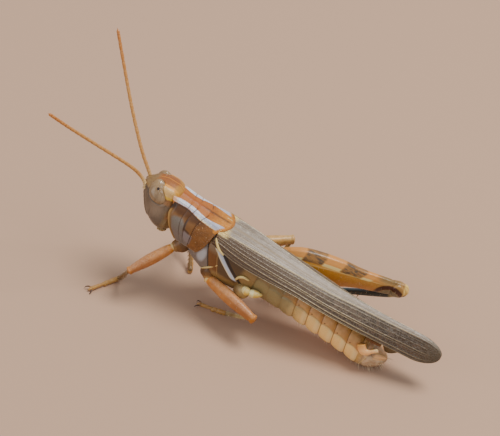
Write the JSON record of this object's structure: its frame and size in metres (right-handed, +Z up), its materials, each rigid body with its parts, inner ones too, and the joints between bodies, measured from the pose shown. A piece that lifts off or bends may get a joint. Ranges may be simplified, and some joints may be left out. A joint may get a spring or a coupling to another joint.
{
  "type": "grasshopper",
  "caption": "Life-size still model of a male spur-throated grasshopper standing with its head raised, striped shield, folded mottled wings, and the left hind leg shed",
  "frame": {"origin": "on the floor, under the middle of the bounding box", "axes": "+Z up, the head faces -Y, +X is the animal's left side, the floor is z = 0"},
  "size_m": [0.014, 0.0406, 0.0224],
  "materials": {
    "face": "satin cuticle",
    "eye": "gloss",
    "shield": "satin cuticle",
    "side_plates": "satin cuticle",
    "wing": "leathery, matt",
    "belly": "waxy satin",
    "leg": "waxy gloss",
    "shin": "waxy gloss",
    "feeler": "satin cuticle"
  },
  "bodies": {
    "root": {"abdomen_front": "belly", "abdomen_rear": "belly", "antenna_left": "feeler", "antenna_right": "feeler", "cercus_left": "belly", "cercus_right": "belly", "coxa_fore_left": "leg", "coxa_fore_right": "leg", "coxa_hind_left": "belly", "coxa_hind_right": "belly", "coxa_mid_left": "leg", "coxa_mid_right": "leg", "eye_left": "eye", "eye_right": "eye", "femur_fore_left": "leg", "femur_fore_right": "leg", "femur_hind_right": "leg", "femur_mid_left": "leg", "femur_mid_right": "leg", "head": "face", "hind_wings": "wing", "jaws": "face", "labrum": "face", "palps_left": "leg", "palps_right": "leg", "pronotum": "shield", "subgenital_plate": "belly", "supra_anal_plate": "belly", "tarsus_fore_left": "feeler", "tarsus_fore_right": "feeler", "tarsus_hind_right": "feeler", "tarsus_mid_left": "feeler", "tarsus_mid_right": "feeler", "tegmen_left": "wing", "tegmen_right": "wing", "thorax": "side_plates", "tibia_fore_left": "leg", "tibia_fore_right": "leg", "tibia_hind_right": "shin", "tibia_mid_left": "leg", "tibia_mid_right": "leg"}
  },
  "joints": []
}
